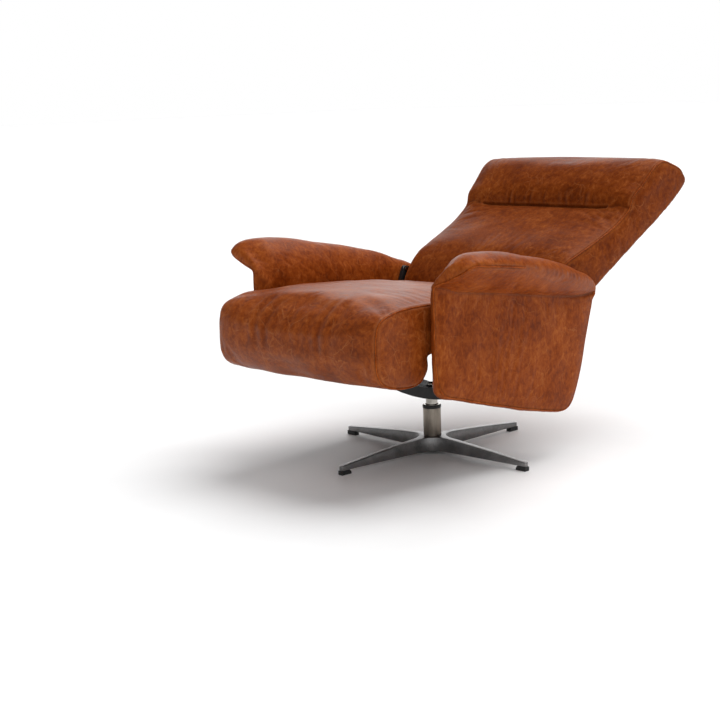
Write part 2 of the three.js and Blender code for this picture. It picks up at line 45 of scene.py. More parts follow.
LOOP_STEP = 0.006  # between the points of a loft's outline
SEAM_STEP = 0.004  # between the points of a seam
WELT = 0.0018  # radius of the self-coloured welts
THREAD = 0.00035  # radius of the stitches
SEAT_HALF = 0.2885
SEAT_REAR_HALF = 0.2765
SEAT_FRONT_HALF = 0.2945  # where the seat stands out in front of the arms
SEAT_CROWN = 0.022
SEAT_FLAT_CROWN = 0.012  # crown before the cushion is filled
SEAT_BULGE = 0.012  # of the seat's front face
BACK_ANGLE = math.radians(33.6)
BACK_FOOT = np.array([0.190, 0.432])  # y, z from which heights up the back are taken
BACK_REAR_POINT = np.array([0.345, 0.416])
BACK_CROWN = 0.014
TUCK_HEIGHT = 0.271  # sewn crease under the headrest, up the back from the rear point
TUCK_HALF = 0.245
ARM_INNER = 0.300
ARM_OUTER = 0.338
ARM_FRONT_BACK = 0.014  # how far the front stands behind its station in the arm's lists
WING_SWEEP = 0.034  # how far the front edge also runs back for each metre outwards
BASE_TURN = math.radians(-2.3)  # the star about the swivel axis


# ---- Lines and fields ----
def curve_through(points, corners=(), closed=True, fine=12):
    """A dense smooth line through points, with sharp turns at the numbered corners."""
    p = np.array(points, float)
    n = len(p)
    line = []
    for i in range(n if closed else n - 1):
        b, c = p[i], p[(i + 1) % n]
        open_start = i in corners or (not closed and i == 0)
        open_end = (i + 1) % n in corners or (not closed and i == n - 2)
        a = 2 * b - c if open_start else p[i - 1]
        d = 2 * c - b if open_end else p[(i + 2) % n]
        t1 = np.linalg.norm(b - a) ** 0.5
        t2 = t1 + np.linalg.norm(c - b) ** 0.5
        t3 = t2 + np.linalg.norm(d - c) ** 0.5
        t = np.linspace(t1, t2, fine, endpoint=False)[:, None]
        ab = (t1 - t) / t1 * a + t / t1 * b
        bc = (t2 - t) / (t2 - t1) * b + (t - t1) / (t2 - t1) * c
        cd = (t3 - t) / (t3 - t2) * c + (t - t2) / (t3 - t2) * d
        abc = (t2 - t) / t2 * ab + t / t2 * bc
        bcd = (t3 - t) / (t3 - t1) * bc + (t - t1) / (t3 - t1) * cd
        line.append((t2 - t) / (t2 - t1) * abc + (t - t1) / (t2 - t1) * bcd)
    if not closed:
        line.append(p[-1:])
    return np.vstack(line)


def evenly(line, spacing=None, count=None, closed=True):
    """Points at even steps along a line."""
    ring = np.vstack([line, line[:1]]) if closed else np.asarray(line)
    along = np.concatenate([[0], np.cumsum(np.linalg.norm(np.diff(ring, axis=0), axis=1))])
    count = count or max(2, int(round(along[-1] / spacing)) + (0 if closed else 1))
    wanted = np.linspace(0, along[-1], count, endpoint=not closed)
    return np.column_stack([np.interp(wanted, along, ring[:, k]) for k in range(ring.shape[1])])


def ease(value, start, end):
    t = np.clip((value - start) / (end - start), 0, 1)
    return t * t * (3 - 2 * t)


def ripple(points, size, seed, waves=14):
    """A smooth random field, mostly between -1 and 1, whose features have one size."""
    rng = np.random.default_rng(seed)
    ways = rng.normal(size=(waves, points.shape[1]))
    ways /= np.linalg.norm(ways, axis=1)[:, None]
    lengths = 2 * size * rng.uniform(0.75, 1.4, waves)
    turns = points @ (2 * math.pi * ways / lengths[:, None]).T + rng.uniform(0, 2 * math.pi, waves)
    return np.sin(turns).sum(1) / math.sqrt(waves)


# ---- Meshes as arrays ----
def vectors(items, key):
    values = np.empty(len(items) * 3)
    items.foreach_get(key, values)
    return values.reshape(-1, 3)


def points_of(mesh):
    return vectors(mesh.vertices, "co")


def normals_of(mesh):
    return vectors(mesh.vertex_normals, "vector")


def move_points(mesh, co):
    mesh.vertices.foreach_set("co", np.ascontiguousarray(co, float).ravel())
    mesh.update()


def smoothed(values, mesh, rounds, share=0.5):
    """Values at a mesh's points, evened out along its edges."""
    edges = np.empty(len(mesh.edges) * 2, int)
    mesh.edges.foreach_get("vertices", edges)
    a, b = edges[0::2], edges[1::2]
    n = len(mesh.vertices)
    count = np.bincount(edges, minlength=n)
    out = np.array(values, float)
    flat = out.reshape(n, -1)
    for _ in range(rounds):
        for k in range(flat.shape[1]):
            column = flat[:, k]
            total = np.bincount(a, column[b], n) + np.bincount(b, column[a], n)
            flat[:, k] = column + share * (total / count - column)
    return flat.reshape(out.shape)


def linked(name, data):
    obj = bpy.data.objects.new(name, data)
    bpy.context.scene.collection.objects.link(obj)
    return obj


def new_object(name, verts, faces):
    mesh = bpy.data.meshes.new(name)
    mesh.from_pydata([tuple(v) for v in verts], [], faces)
    mesh.validate()
    return linked(name, mesh)


def loft(name, loops):
    """A closed mesh through a row of closed loops of equal count."""
    rows, count = len(loops), len(loops[0])
    faces = [tuple(reversed(range(count))), tuple((rows - 1) * count + k for k in range(count))]
    for r in range(rows - 1):
        for k in range(count):
            a, b = r * count + k, r * count + (k + 1) % count
            faces.append((a, b, b + count, a + count))
    return new_object(name, np.vstack(loops), faces)


def apply_modifiers(obj):
    graph = bpy.context.evaluated_depsgraph_get()
    made = bpy.data.meshes.new_from_object(obj.evaluated_get(graph))
    old = obj.data
    obj.modifiers.clear()
    obj.data = made
    bpy.data.meshes.remove(old)
    made.name = obj.name


def remesh(obj, voxel=VOXEL, rounds=4):
    """Turns a closed mesh into an even one and takes the steps out of it."""
    step = obj.modifiers.new("Remesh", "REMESH")
    step.mode = "VOXEL"
    step.voxel_size = voxel
    apply_modifiers(obj)
    move_points(obj.data, smoothed(points_of(obj.data), obj.data, rounds))


def subdivide(obj):
    step = obj.modifiers.new("Subdivision", "SUBSURF")
    step.levels = step.render_levels = 1
    apply_modifiers(obj)


def shade_smooth(obj, angle=None):
    obj.data.polygons.foreach_set("use_smooth", [True] * len(obj.data.polygons))
    if angle is not None:
        obj.data.set_sharp_from_angle(angle=angle)
    obj.data.update()


# ---- Filling a cushion ----
def fill(obj, pinned, reach, slack=0.006, fold=0.0009, pressure=4.0, frames=20):
    """Blows up a cover that is held at its seams and keeps each point within its reach.
    reach is how far each point may swell; fold is how deep the cloth's own wrinkles may be."""
    rest = points_of(obj.data)
    group = obj.vertex_groups.new(name="seams")
    for share in range(11):
        members = np.nonzero(np.round(pinned * 10).astype(int) == share)[0]
        group.add([int(i) for i in members], share / 10, "REPLACE")
    cloth = obj.modifiers.new("Cloth", "CLOTH")
    settings = cloth.settings
    settings.quality = 5
    settings.mass = 0.3
    settings.tension_stiffness = settings.compression_stiffness = 15
    settings.shear_stiffness = 5
    settings.bending_stiffness = 0.3
    settings.use_pressure = True
    settings.uniform_pressure_force = pressure
    settings.effector_weights.gravity = 0
    settings.shrink_min = -slack
    settings.vertex_group_mass = group.name
    cloth.collision_settings.use_collision = False
    cloth.point_cache.frame_start = 1
    cloth.point_cache.frame_end = frames
    for step in range(1, frames + 1):
        bpy.context.scene.frame_set(step)
    apply_modifiers(obj)
    obj.vertex_groups.clear()
    moved = points_of(obj.data)
    bpy.context.scene.frame_set(1)
    shift = moved - rest
    broad = smoothed(shift, obj.data, 30)
    move_points(obj.data, rest + capped(broad, reach) + capped(shift - broad, fold))


def capped(shift, most):
    """Shortens each vector smoothly so that it stays under most."""
    length = np.linalg.norm(shift, axis=1)
    most = np.maximum(most, 1e-6) * np.ones(len(shift))
    scale = most * np.tanh(length / most) / np.maximum(length, 1e-9)
    return shift * scale[:, None]


# ---- Seams ----
def closeness(points, path, spacing=0.0015):
    """For each point, its distance to the path and how far along the path it is."""
    dense = evenly(path, spacing=spacing, closed=False)
    tree = KDTree(len(dense))
    for i, p in enumerate(dense):
        tree.insert(p, i)
    tree.balance()
    found = [tree.find(p)[1:] for p in points]
    return np.array([f[1] for f in found]), np.array([f[0] for f in found]) * spacing


def snapped(obj, path, lift=0.0, sink=0.0, rounds=2):
    """The path laid on the surface of a mesh, raised by lift, and sunk into it at both ends."""
    tree = BVHTree.FromObject(obj, bpy.context.evaluated_depsgraph_get())
    out = []
    for i, p in enumerate(path):
        place, normal, _, _ = tree.find_nearest(Vector(p))
        share = float(ease(min(i, len(path) - 1 - i), 0, 8))
        out.append(place + normal * (lift * share - sink * (1 - share)))
    out = np.array(out)
    for _ in range(rounds):
        out[1:-1] = 0.5 * out[1:-1] + 0.25 * (out[:-2] + out[2:])
    return out


def press(obj, path, depth, width, roll=0.0, fade=0.0):
    """Presses a groove of a given depth and half width along a path; roll swells the leather beside it.
    fade is the length over which the groove deepens from the path's start."""
    co = points_of(obj.data)
    far, along = closeness(co, path)
    if fade:
        depth, roll = depth * ease(along, 0, fade), roll * ease(along, 0, fade)
    groove = depth * np.exp(-(far / width) ** 2)
    swell = roll * np.exp(-((far - 2.2 * width) / (1.1 * width)) ** 2)
    move_points(obj.data, co + normals_of(obj.data) * (swell - groove)[:, None])


def tube_parts(path, radius, sides=8):
    """Vertices and faces of a closed round tube along a path."""
    path = np.asarray(path)
    ways = np.gradient(path, axis=0)
    ways /= np.maximum(np.linalg.norm(ways, axis=1), 1e-12)[:, None]
    across = np.cross(ways[0], [0.31, 0.52, 0.79])
    verts, faces = [], []
    for p, way in zip(path, ways):
        across = across - way * across.dot(way)
        across /= np.linalg.norm(across)
        other = np.cross(way, across)
        for k in range(sides):
            turn = 2 * math.pi * k / sides
            verts.append(p + radius * (math.cos(turn) * across + math.sin(turn) * other))
    for r in range(len(path) - 1):
        for k in range(sides):
            a, b = r * sides + k, r * sides + (k + 1) % sides
            faces.append((a, b, b + sides, a + sides))
    faces.append(tuple(reversed(range(sides))))
    faces.append(tuple(len(verts) - sides + k for k in range(sides)))
    return verts, faces


def joined_tubes(name, paths, radius, sides):
    verts, faces = [], []
    for path in paths:
        v, f = tube_parts(path, radius, sides)
        faces += [tuple(i + len(verts) for i in face) for face in f]
        verts += v
    obj = new_object(name, verts, faces)
    shade_smooth(obj)
    return obj


def stitches(surface, path, beside, pitch=0.0068, length=0.0042):
    """Short thread paths in a row beside a seam, each dipping into the leather at both ends."""
    tree = BVHTree.FromObject(surface, bpy.context.evaluated_depsgraph_get())
    line = evenly(path, spacing=pitch / 4, closed=False)
    rows = []
    for start in range(2, len(line) - 4, 4):
        a, b = line[start], line[start + 2]
        normal = tree.find_nearest(Vector((a + b) / 2))[1]
        way = (b - a) / max(np.linalg.norm(b - a), 1e-9)
        side = np.cross(np.array(normal), way) * beside
        row = []
        for t, lift in ((-0.5, -0.0004), (-0.32, 0.0003), (0.0, 0.0005), (0.32, 0.0003), (0.5, -0.0004)):
            p, n, _, _ = tree.find_nearest(Vector((a + b) / 2 + side + way * length * t))
            row.append(np.array(p + n * lift))
        rows.append(row)
    return rows


def finish_piece(obj, body, slot_name, *nodes, finish=None):
    """Gives a piece the material of its slot, or of finish for a material that isn't its slot's own, puts
    it on its body and hides the CAD nodes it replaces.
    """
    obj.data.materials.append(MATERIALS[finish or slot_name])
    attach(obj, body)
    if nodes:
        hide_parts(*nodes)


def dress(cushion, body, slot_name, *nodes):
    """Smooths a finished cushion, ties it to its body and hides the CAD nodes that it stands for."""
    shade_smooth(cushion)
    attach(cushion, body)
    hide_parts(*nodes)


def sew(cushion, name, seams, body, welted=True, beside=0.0032):
    """Adds the welt and the thread of each seam as pieces on the same body."""
    if welted:
        even_seams = [evenly(seam, spacing=SEAM_STEP, closed=False) for seam in seams]
        welts = [snapped(cushion, seam, 0.8 * WELT, 1.2 * WELT) for seam in even_seams]
        finish_piece(joined_tubes(name + "_welt", welts, WELT, 8), body, "leather", finish="welt")
    rows = [row for s in seams for row in stitches(cushion, s, beside)]
    finish_piece(joined_tubes(name + "_thread", rows, THREAD, 5), body, "leather", finish="thread")


def mark_wear_and_shade(obj, seams):
    """Stores, for the leather's material, how near each point is to a seam and how the surface bends; the
    material lightens stretched edges as wear and darkens hollows and seam sides as painted shade.
    """
    co = points_of(obj.data)
    near = np.zeros(len(co))
    for seam in seams:
        near = np.maximum(near, np.exp(-(closeness(co, seam, 0.003)[0] / 0.007) ** 2))
    pull = smoothed(co, obj.data, 6) - co
    bend = smoothed(-(pull * normals_of(obj.data)).sum(1), obj.data, 2) / 0.0006
    for title, values in (("seam", near), ("bend", np.clip(0.5 + 0.5 * bend, 0, 1))):
        attribute = obj.data.attributes.new(title, "FLOAT", "POINT")
        attribute.data.foreach_set("value", values.astype(np.float32))


# ---- Materials ----
class Shader:
    """A principled material and short ways of adding nodes to it."""

    def __init__(self, name, **constants):
        self.material = bpy.data.materials.new(name)
        self.material.use_nodes = True
        self.tree = self.material.node_tree
        self.main = self.tree.nodes["Principled BSDF"]
        self.place = self.add("ShaderNodeTexCoord").outputs["Object"]
        for socket, value in constants.items():
            self.main.inputs[socket.replace("_", " ")].default_value = value

    def add(self, kind, **settings):
        node = self.tree.nodes.new(kind)
        for key, value in settings.items():
            setattr(node, key, value)
        return node

    def set(self, socket, value):
        if isinstance(value, (int, float, tuple)):
            socket.default_value = value
        else:
            self.tree.links.new(value, socket)

    def scaled(self, scale, turn=(0, 0, 0), place=None):
        node = self.add("ShaderNodeMapping")
        self.set(node.inputs["Vector"], place or self.place)
        node.inputs["Scale"].default_value = scale
        node.inputs["Rotation"].default_value = turn
        return node.outputs["Vector"]

    def noise(self, scale, detail=4.0, rough=0.55, bent=0.0, place=None):
        node = self.add("ShaderNodeTexNoise")
        self.set(node.inputs["Vector"], place or self.place)
        settings = {"Scale": scale, "Detail": detail, "Roughness": rough, "Distortion": bent}
        for socket, value in settings.items():
            node.inputs[socket].default_value = value
        return node.outputs["Fac"]

    def cells(self, scale, feature="F1", place=None):
        node = self.add("ShaderNodeTexVoronoi", feature=feature)
        self.set(node.inputs["Vector"], place or self.place)
        node.inputs["Scale"].default_value = scale
        return node.outputs["Distance"]

    def bent(self, amount, scale, place=None):
        """The coordinates, pushed about by a noise."""
        node = self.add("ShaderNodeTexNoise")
        self.set(node.inputs["Vector"], place or self.place)
        node.inputs["Scale"].default_value = scale
        node.inputs["Detail"].default_value = 3.0
        centred = self.add("ShaderNodeVectorMath", operation="SUBTRACT")
        self.set(centred.inputs[0], node.outputs["Color"])
        centred.inputs[1].default_value = (0.5, 0.5, 0.5)
        pushed = self.add("ShaderNodeVectorMath", operation="MULTIPLY_ADD")
        self.set(pushed.inputs[0], centred.outputs["Vector"])
        pushed.inputs[1].default_value = (amount, amount, amount)
        self.set(pushed.inputs[2], place or self.place)
        return pushed.outputs["Vector"]

    def spread(self, value, low, high, to_low=0.0, to_high=1.0):
        node = self.add("ShaderNodeMapRange")
        self.set(node.inputs["Value"], value)
        for socket, v in (("From Min", low), ("From Max", high), ("To Min", to_low), ("To Max", to_high)):
            node.inputs[socket].default_value = v
        return node.outputs["Result"]

    def math(self, operation, a, b):
        node = self.add("ShaderNodeMath", operation=operation)
        self.set(node.inputs[0], a)
        self.set(node.inputs[1], b)
        return node.outputs["Value"]

    def mix(self, share, a, b):
        node = self.add("ShaderNodeMix", data_type="RGBA")
        self.set(node.inputs["Factor"], share)
        self.set(node.inputs[6], a)
        self.set(node.inputs[7], b)
        return node.outputs[2]

    def ramp(self, value, stops):
        node = self.add("ShaderNodeValToRGB")
        self.set(node.inputs["Fac"], value)
        elements = node.color_ramp.elements
        while len(elements) < len(stops):
            elements.new(0.5)
        for element, (position, colour) in zip(elements, stops):
            element.position = position
            element.color = (*colour, 1.0)
        return node.outputs["Color"]

    def attribute(self, name):
        return self.add("ShaderNodeAttribute", attribute_name=name).outputs["Fac"]

    def bump(self, height, distance, strength=1.0, under=None):
        node = self.add("ShaderNodeBump")
        self.set(node.inputs["Height"], height)
        node.inputs["Distance"].default_value = distance
        node.inputs["Strength"].default_value = strength
        if under is not None:
            self.set(node.inputs["Normal"], under)
        return node.outputs["Normal"]

    def surface(self, colour, normal, rough=None):
        """Connects what has been worked out and hands over the material."""
        for socket, value in (("Base Color", colour), ("Normal", normal), ("Roughness", rough)):
            if value is not None:
                self.set(self.main.inputs[socket], value)
        return self.material


LEATHER_TONES = ((0.39, (0.130, 0.0200, 0.0018)), (0.475, (0.206, 0.0365, 0.0036)),
                 (0.55, (0.280, 0.0570, 0.0068)), (0.65, (0.400, 0.1040, 0.0200)))
SCRATCHED = (0.46, 0.165, 0.055, 1.0)
STRETCHED = (0.38, 0.115, 0.032, 1.0)  # on edges that stand out
# Painted shade: the two tones below darken the leather in hollows and beside the pressed seams, where shade
# falls.
PAINTED_HOLLOW_SHADE = (0.070, 0.0125, 0.0022, 1.0)  # in hollows
PAINTED_SEAM_SHADE = (0.085, 0.0165, 0.0030, 1.0)  # beside seams


def leather(name, worn_and_shaded=True, turn=(0.0, 0.0, 0.0), grain=(1.0, 1.0, 0.35), painted_light_scale=1.0, marks=0.40,
            gloss=1.21):
    """Waxed pull-up leather: cloudy tan and brown, fine fibres, pale scratches and a pebbled grain.
    turn and grain lay the fibres, marks is how pale the scratches are, gloss is the index of refraction;
    the tone scale darkens every tone as painted shade or lightens it as a painted highlight, and the wear
    switch adds lighter stretched edges as wear and painted shade in hollows and beside seams."""
    s = Shader(name, IOR=gloss, Specular_Tint=(1.0, 0.62, 0.42, 1.0))
    fibre_place = s.scaled(grain, turn, s.bent(0.03, 12.0))
    cloud = s.noise(11.0, 3.0, 0.5, 0.4)
    patch = s.noise(56.0, 6.0, 0.66, 0.7)
    fibre = s.noise(150.0, 6.0, 0.70, 0.5, fibre_place)
    tone = s.math("ADD", s.math("MULTIPLY", cloud, 0.26), s.math("MULTIPLY", patch, 0.42))
    tone = s.math("ADD", tone, s.math("MULTIPLY", fibre, 0.34))
    # The scale darkens the tones as painted shade on the back's and seat's copies and lightens them as a
    # painted highlight on the welts'.
    stops = [(place, tuple(painted_light_scale * c for c in shade)) for place, shade in LEATHER_TONES]
    colour = s.ramp(tone, stops)
    scratch_place = s.bent(0.10, 5.0, s.bent(0.012, 40.0))
    lines = s.cells(17.0, "DISTANCE_TO_EDGE", scratch_place)
    fine_place = s.scaled((1.0, 0.8, 0.5), (0.5, 0.3, 0.9), scratch_place)
    fine_lines = s.cells(34.0, "DISTANCE_TO_EDGE", fine_place)
    patches = s.spread(s.noise(13.0, 3.0), 0.47, 0.60)
    scratch = s.math("MULTIPLY", s.spread(lines, 0.0, 0.016, 1.0, 0.0), patches)
    fine_patches = s.spread(s.noise(21.0, 3.0, 0.6, 0.3), 0.50, 0.66)
    fine_scratch = s.math("MULTIPLY", s.spread(fine_lines, 0.0, 0.045, 0.65, 0.0), fine_patches)
    mark = s.math("MAXIMUM", scratch, fine_scratch)
    colour = s.mix(s.math("MULTIPLY", mark, marks), colour, SCRATCHED)
    # Wear lightens stretched edges; painted shade darkens hollows and the leather beside seams.
    if worn_and_shaded:
        bend = s.attribute("bend")
        colour = s.mix(s.spread(bend, 0.55, 1.0, 0.0, 0.30), colour, STRETCHED)
        colour = s.mix(s.spread(bend, 0.45, 0.0, 0.0, 0.50), colour, PAINTED_HOLLOW_SHADE)
        colour = s.mix(s.math("MULTIPLY", s.attribute("seam"), 0.25), colour, PAINTED_SEAM_SHADE)
    rough = s.spread(s.math("ADD", patch, s.math("MULTIPLY", mark, 0.25)), 0.3, 0.8, 0.36, 0.54)
    pebble = s.cells(620.0, "SMOOTH_F1", s.bent(0.0015, 300.0))
    creased = s.cells(150.0, "DISTANCE_TO_EDGE", s.bent(0.008, 60.0))
    normal = s.bump(pebble, 0.00022, 0.5)
    normal = s.bump(s.spread(creased, 0.0, 0.10), 0.00028, 0.3, normal)
    normal = s.bump(s.noise(55.0, 4.0, 0.6), 0.0010, 0.3, normal)
    return s.surface(colour, normal, rough)


def thread():
    s = Shader("waxed_thread", Specular_IOR_Level=0.35)
    twist = s.noise(900.0, 2.0)
    colour = s.ramp(twist, [(0.35, (0.10, 0.030, 0.010)), (0.65, (0.24, 0.085, 0.030))])
    return s.surface(colour, s.bump(twist, 0.0002, 0.6), s.spread(twist, 0.3, 0.7, 0.45, 0.65))


def metal(name, dark, light, rough, brushed=(1.0, 1.0, 1.0), fine=400.0, cloudy=9.0, depth=0.00004):
    """A bare metal: faint clouds, fine brushing along one way and a few handling marks."""
    s = Shader(name, Metallic=1.0)
    strokes = s.noise(fine, 3.0, 0.6, 0.0, s.scaled(brushed))
    clouds = s.noise(cloudy, 5.0, 0.6, 1.2)
    tone = s.math("ADD", s.math("MULTIPLY", strokes, 0.45), s.math("MULTIPLY", clouds, 0.55))
    marks = s.cells(60.0, "DISTANCE_TO_EDGE", s.bent(0.02, 30.0))
    normal = s.bump(s.spread(marks, 0.0, 0.02), depth, 0.25, s.bump(strokes, depth, 0.5))
    return s.surface(s.ramp(tone, [(0.36, dark), (0.64, light)]), normal, s.spread(tone, 0.3, 0.7, *rough))


def coated(name, colour, lighter, rough, size=260.0, depth=0.00008):
    """A powder coat or moulded plastic: fine orange peel and a slight change of gloss."""
    s = Shader(name)
    peel = s.noise(size, 4.0, 0.6)
    scuffs = s.noise(18.0, 5.0, 0.65, 0.8)
    paint = s.ramp(scuffs, [(0.35, colour), (0.75, lighter)])
    return s.surface(paint, s.bump(peel, depth, 0.5), s.spread(scuffs, 0.3, 0.7, *rough))


def plywood():
    s = Shader("plywood", Roughness=0.75)
    grain = s.noise(14.0, 6.0, 0.6, 0.4, s.scaled((6.0, 0.7, 6.0), (0.0, 0.0, 1.57)))
    plies = s.add("ShaderNodeTexWave", bands_direction="Z")
    s.set(plies.inputs["Vector"], s.place)
    plies.inputs["Scale"].default_value = 90.0
    plies.inputs["Distortion"].default_value = 0.4
    tone = s.math("ADD", s.math("MULTIPLY", grain, 0.75), s.math("MULTIPLY", plies.outputs["Fac"], 0.25))
    colour = s.ramp(tone, [(0.3, (0.30, 0.17, 0.075)), (0.7, (0.62, 0.42, 0.22))])
    return s.surface(colour, s.bump(grain, 0.0004, 0.4))


def woven(name, dark, light, pitch=900.0):
    """A thin plain-woven lining."""
    s = Shader(name, Roughness=0.9, Sheen_Weight=0.2)
    waves = []
    for way in ("X", "Y"):
        wave = s.add("ShaderNodeTexWave", bands_direction=way)
        s.set(wave.inputs["Vector"], s.place)
        wave.inputs["Scale"].default_value = pitch / 6.283
        waves.append(wave.outputs["Fac"])
    weave = s.math("MULTIPLY", waves[0], waves[1])
    fuzz = s.noise(60.0, 5.0, 0.7)
    tone = s.math("ADD", s.math("MULTIPLY", weave, 0.5), fuzz)
    return s.surface(s.ramp(tone, [(0.4, dark), (0.9, light)]), s.bump(weave, 0.0002, 0.6))


def foam():
    s = Shader("cut_foam", Roughness=0.95)
    pores = s.cells(900.0, "F1")
    colour = s.ramp(pores, [(0.1, (0.50, 0.40, 0.22)), (0.6, (0.78, 0.70, 0.46))])
    return s.surface(colour, s.bump(pores, 0.0006, 0.7))


MATERIALS = {
    "leather": leather("tan_leather"),
    # The back's and the seat's leathers are copies darkened as painted shade; the welts' copy is lightened
    # as a painted highlight.
    "leather_back": leather("tan_leather_back_shaded", turn=(0.65, 0.0, 0.5), grain=(1.0, 0.6, 0.6),
                            painted_light_scale=0.80, gloss=1.17),
    "leather_seat": leather("tan_leather_seat_shaded", turn=(0.0, 0.3, 0.2), grain=(0.8, 1.0, 0.7),
                            painted_light_scale=0.92, marks=0.60, gloss=1.34),
    "welt": leather("tan_welt_highlighted", worn_and_shaded=False, painted_light_scale=1.15),
    "thread": thread(),
    "foam": foam(),
    "plywood": plywood(),
    "cast_aluminium": metal("cast_aluminium", (0.15, 0.148, 0.148), (0.33, 0.325, 0.325), (0.30, 0.46),
                            (1.0, 1.0, 1.0), 500.0, 11.0),
    "brushed_steel": metal("brushed_steel", (0.17, 0.145, 0.118), (0.34, 0.298, 0.25), (0.26, 0.40),
                           (1.0, 1.0, 0.02), 1400.0, 6.0),
    "polished_steel": metal("polished_steel", (0.30, 0.28, 0.25), (0.48, 0.455, 0.415), (0.14, 0.26)),
    "black_steel": coated("black_powder_coat", (0.004, 0.004, 0.0043), (0.012, 0.012, 0.0126),
                          (0.42, 0.58)),
    "black_plastic": coated("black_plastic", (0.008, 0.008, 0.008), (0.020, 0.020, 0.020),
                            (0.45, 0.62), 500.0),
    "nylon": coated("white_nylon", (0.62, 0.61, 0.57), (0.76, 0.75, 0.71), (0.35, 0.5)),
    "dust_cloth": woven("dust_cloth", (0.010, 0.010, 0.011), (0.035, 0.035, 0.038)),
}


# ---- Seat ----
SEAT_OUTLINE = np.array([  # y, z: underside corner, round the front lip, over the top, to the rear
    (-0.318, 0.353), (-0.320, 0.322), (-0.328, 0.304), (-0.343, 0.288), (-0.364, 0.279),
    (-0.410, 0.279), (-0.464, 0.289), (-0.492, 0.304), (-0.506, 0.325), (-0.511, 0.352),
    (-0.510, 0.392), (-0.507, 0.429), (-0.500, 0.448), (-0.486, 0.461), (-0.460, 0.470),
    (-0.428, 0.477), (-0.340, 0.479), (-0.217, 0.475), (-0.039, 0.463), (0.119, 0.450),
    (0.156, 0.446), (0.168, 0.441), (0.173, 0.430), (0.173, 0.315)])
SEAT_CORNERS = (0, 22, 23)
SEAT_LIP_REAR = -0.330  # y: behind it the underside is held flat by its board
SEAT_BACK_FACE = 0.160  # y
SEAT_UNDERSIDE = ((-0.318, 0.174), (0.352, 0.312))  # y and z of its two ends


def seat_half(y):
    wider = (SEAT_FRONT_HALF - SEAT_HALF) * ease(-y, 0.360, 0.430)
    return SEAT_HALF + wider - (SEAT_HALF - SEAT_REAR_HALF) * ease(y, 0.070, 0.094)


def seat_arch(across, y, z):
    """Crown of the seat: full at the front and lower where the back meets it."""
    return (1 - np.abs(across) ** 4) * ease(z, 0.400, 0.460) * (1 - 0.62 * ease(y, -0.150, 0.150))


def make_seat():
    outline = evenly(curve_through(SEAT_OUTLINE, SEAT_CORNERS), spacing=LOOP_STEP)
    y, z = outline.T
    loops = []
    for across in np.linspace(-1, 1, 101):
        arch = SEAT_FLAT_CROWN * seat_arch(across, y, z)
        forward = (0.001 + 0.6 * SEAT_BULGE * (1 - across ** 10)) * ease(-y, 0.430, 0.500)
        loops.append(np.column_stack([across * seat_half(y), y - forward, z + arch]))
    cushion = loft("seat_cushion", loops)
    remesh(cushion)

    edge = evenly(curve_through(SEAT_OUTLINE[:23], closed=False), spacing=SEAM_STEP, closed=False)
    sides = [np.column_stack([s * seat_half(edge[:, 0]), edge]) for s in (-1, 1)]
    lip = SEAT_OUTLINE[4]
    under = np.array([(x, lip[0], lip[1]) for x in np.linspace(-SEAT_HALF, SEAT_HALF, 60)])

    co = points_of(cushion.data)
    far = np.minimum(*[closeness(co, s)[0] for s in sides])
    held = 1 - ease(far, 0.003, 0.012)
    bottom = (co[:, 1] > SEAT_LIP_REAR) & (co[:, 2] < np.interp(co[:, 1], *SEAT_UNDERSIDE) + 0.02)
    held[bottom | (co[:, 1] > SEAT_BACK_FACE)] = 1
    side_face = ease(np.abs(co[:, 0]) / seat_half(co[:, 1]), 0.975, 0.995)
    arch = seat_arch(co[:, 0] / seat_half(co[:, 1]), co[:, 1], co[:, 2])
    crown = (SEAT_CROWN - SEAT_FLAT_CROWN) * arch
    front = 0.003 * ease(-co[:, 1], 0.40, 0.50)
    reach = np.where(bottom, 0.0005, (crown + front + 0.002) * (1 - side_face) + 0.004 * side_face)
    fill(cushion, held, smoothed(reach, cushion.data, 8))
    subdivide(cushion)

    co = points_of(cushion.data)
    normal = normals_of(cushion.data)
    roll = np.exp(-((co[:, 1] + 0.495) / 0.040) ** 2) * ease(co[:, 2], 0.33, 0.42)
    roll *= 1 - ease(np.abs(co[:, 0]), 0.20, 0.27)
    folds = np.sin(2 * math.pi * (co[:, 0] + 0.014 * ripple(co, 0.09, 3)) / 0.042)
    folds *= 0.25 + 0.75 * ease(ripple(co[:, :1], 0.08, 5), -0.4, 0.8)
    shift = 0.0026 * folds * roll + 0.0013 * ripple(co, 0.055, 8) * (1 - held_near(co, sides, 0.03))
    move_points(cushion.data, co + normal * shift[:, None])
    for seam in sides:
        press(cushion, seam, 0.0030, 0.0040, 0.0008)
    press(cushion, under, 0.002, 0.005)
    mark_wear_and_shade(cushion, [*sides, under])
    cushion.data.materials.append(MATERIALS["leather_seat"])
    dress(cushion, "seat", "leather", "seat_cover", "seat_foam")
    sew(cushion, "seat_side", sides, "seat")


def held_near(co, paths, width):
    """1 at the paths, fading to 0 at width from them."""
    far = np.min([closeness(co, p, 0.004)[0] for p in paths], axis=0)
    return 1 - ease(far, 0, width)


